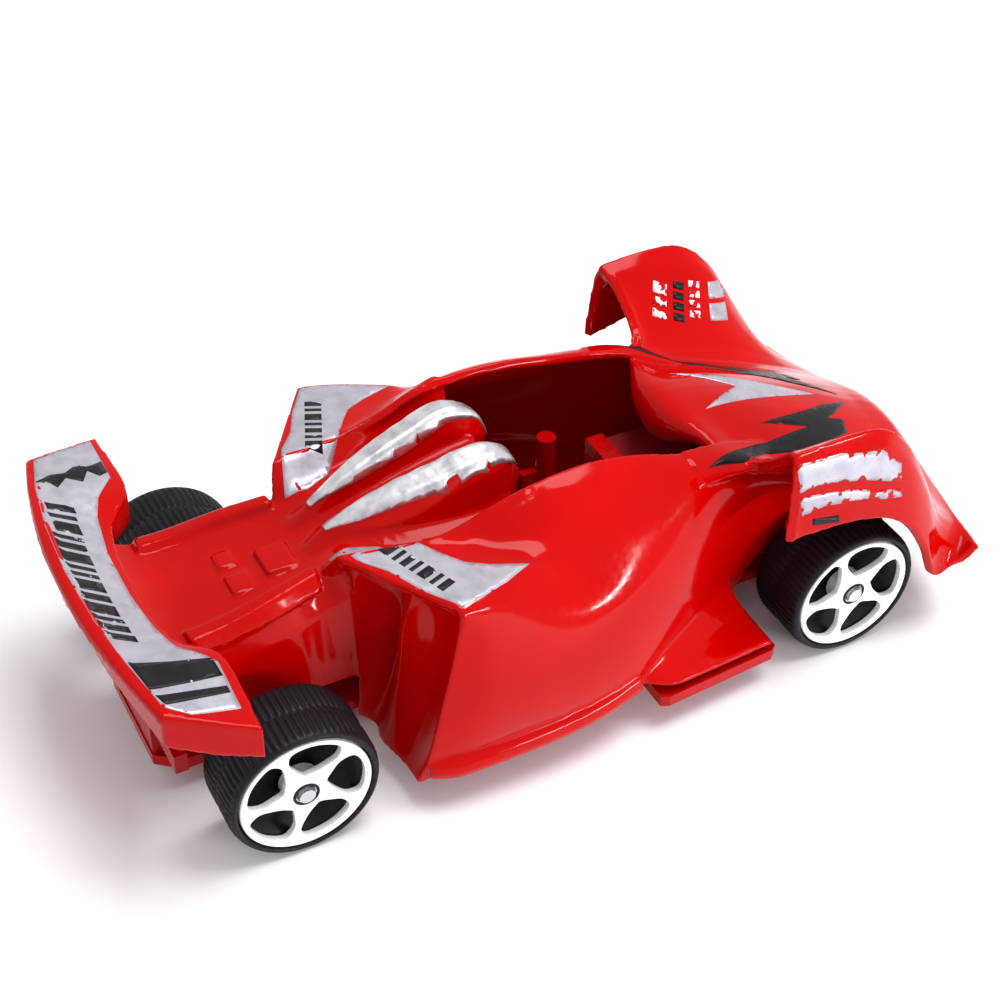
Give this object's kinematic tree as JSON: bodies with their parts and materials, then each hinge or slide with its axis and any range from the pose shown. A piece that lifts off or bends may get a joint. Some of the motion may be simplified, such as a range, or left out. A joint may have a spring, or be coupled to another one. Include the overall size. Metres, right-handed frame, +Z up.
{
  "type": "pull back car",
  "caption": "Toy racing car: thin body shell with front wing, open cockpit and rear fenders on a chassis with spoked wheels and a wind-up rear-axle motor.",
  "frame": {"origin": "middle of the footprint, on the surface that the wheels stand on", "axes": "+Z up, -Y towards the nose, +X towards the car's left"},
  "size_m": [0.0692, 0.1443, 0.0441],
  "materials": {
    "red_shell": "glossy bright red moulded plastic with fine scratches",
    "red_plate": "glossy red moulded plastic",
    "tyre": "satin black with fine cross ribs",
    "wheel_face": "white-silver stamped face",
    "steel": "bright drawn rod",
    "motor_case": "dark red moulded plastic",
    "gear": "natural nylon",
    "spring": "blued spring steel",
    "screw": "zinc plated",
    "foil": "worn silver foil print",
    "black_print": "black pad print"
  },
  "bodies": {
    "car": {"body_shell": "red_shell", "chassis_plate": "red_plate", "chassis_screw_1": "screw", "chassis_screw_2": "screw", "chassis_screw_3": "screw", "chassis_screw_4": "screw", "motor_case_left": "motor_case", "motor_case_right": "motor_case", "mainspring": "spring", "idler_pin": "steel"},
    "front_wheels": {"front_axle": "steel", "tyre_front_left": "tyre", "tyre_front_right": "tyre", "wheel_face_front_left": "wheel_face", "wheel_face_front_right": "wheel_face"},
    "rear_wheels": {"rear_axle": "steel", "axle_gear": "gear", "tyre_rear_left": "tyre", "tyre_rear_right": "tyre", "wheel_face_rear_left": "wheel_face", "wheel_face_rear_right": "wheel_face"},
    "idler": {"idler_gear": "gear"},
    "spring_arbor": {"spring_gear": "gear"}
  },
  "joints": [
    {"name": "front_wheels_roll", "type": "hinge", "parent": "car", "child": "front_wheels", "pos_m": [0, -0.04915, 0.0116], "axis": [1, 0, 0], "continuous": true},
    {"name": "rear_wheels_roll", "type": "hinge", "parent": "car", "child": "rear_wheels", "pos_m": [0, 0.04465, 0.0116], "axis": [1, 0, 0], "continuous": true},
    {"name": "idler_turn", "type": "hinge", "parent": "car", "child": "idler", "pos_m": [0, 0.03724, 0.016], "axis": [1, 0, 0], "continuous": true},
    {"name": "spring_turn", "type": "hinge", "parent": "car", "child": "spring_arbor", "pos_m": [0, 0.02838, 0.0156], "axis": [1, 0, 0], "continuous": true}
  ],
  "couplings": [
    {"joint": "idler_turn", "follows": "rear_wheels_roll", "ratio": -0.41667},
    {"joint": "spring_turn", "follows": "rear_wheels_roll", "ratio": 0.14423}
  ]
}
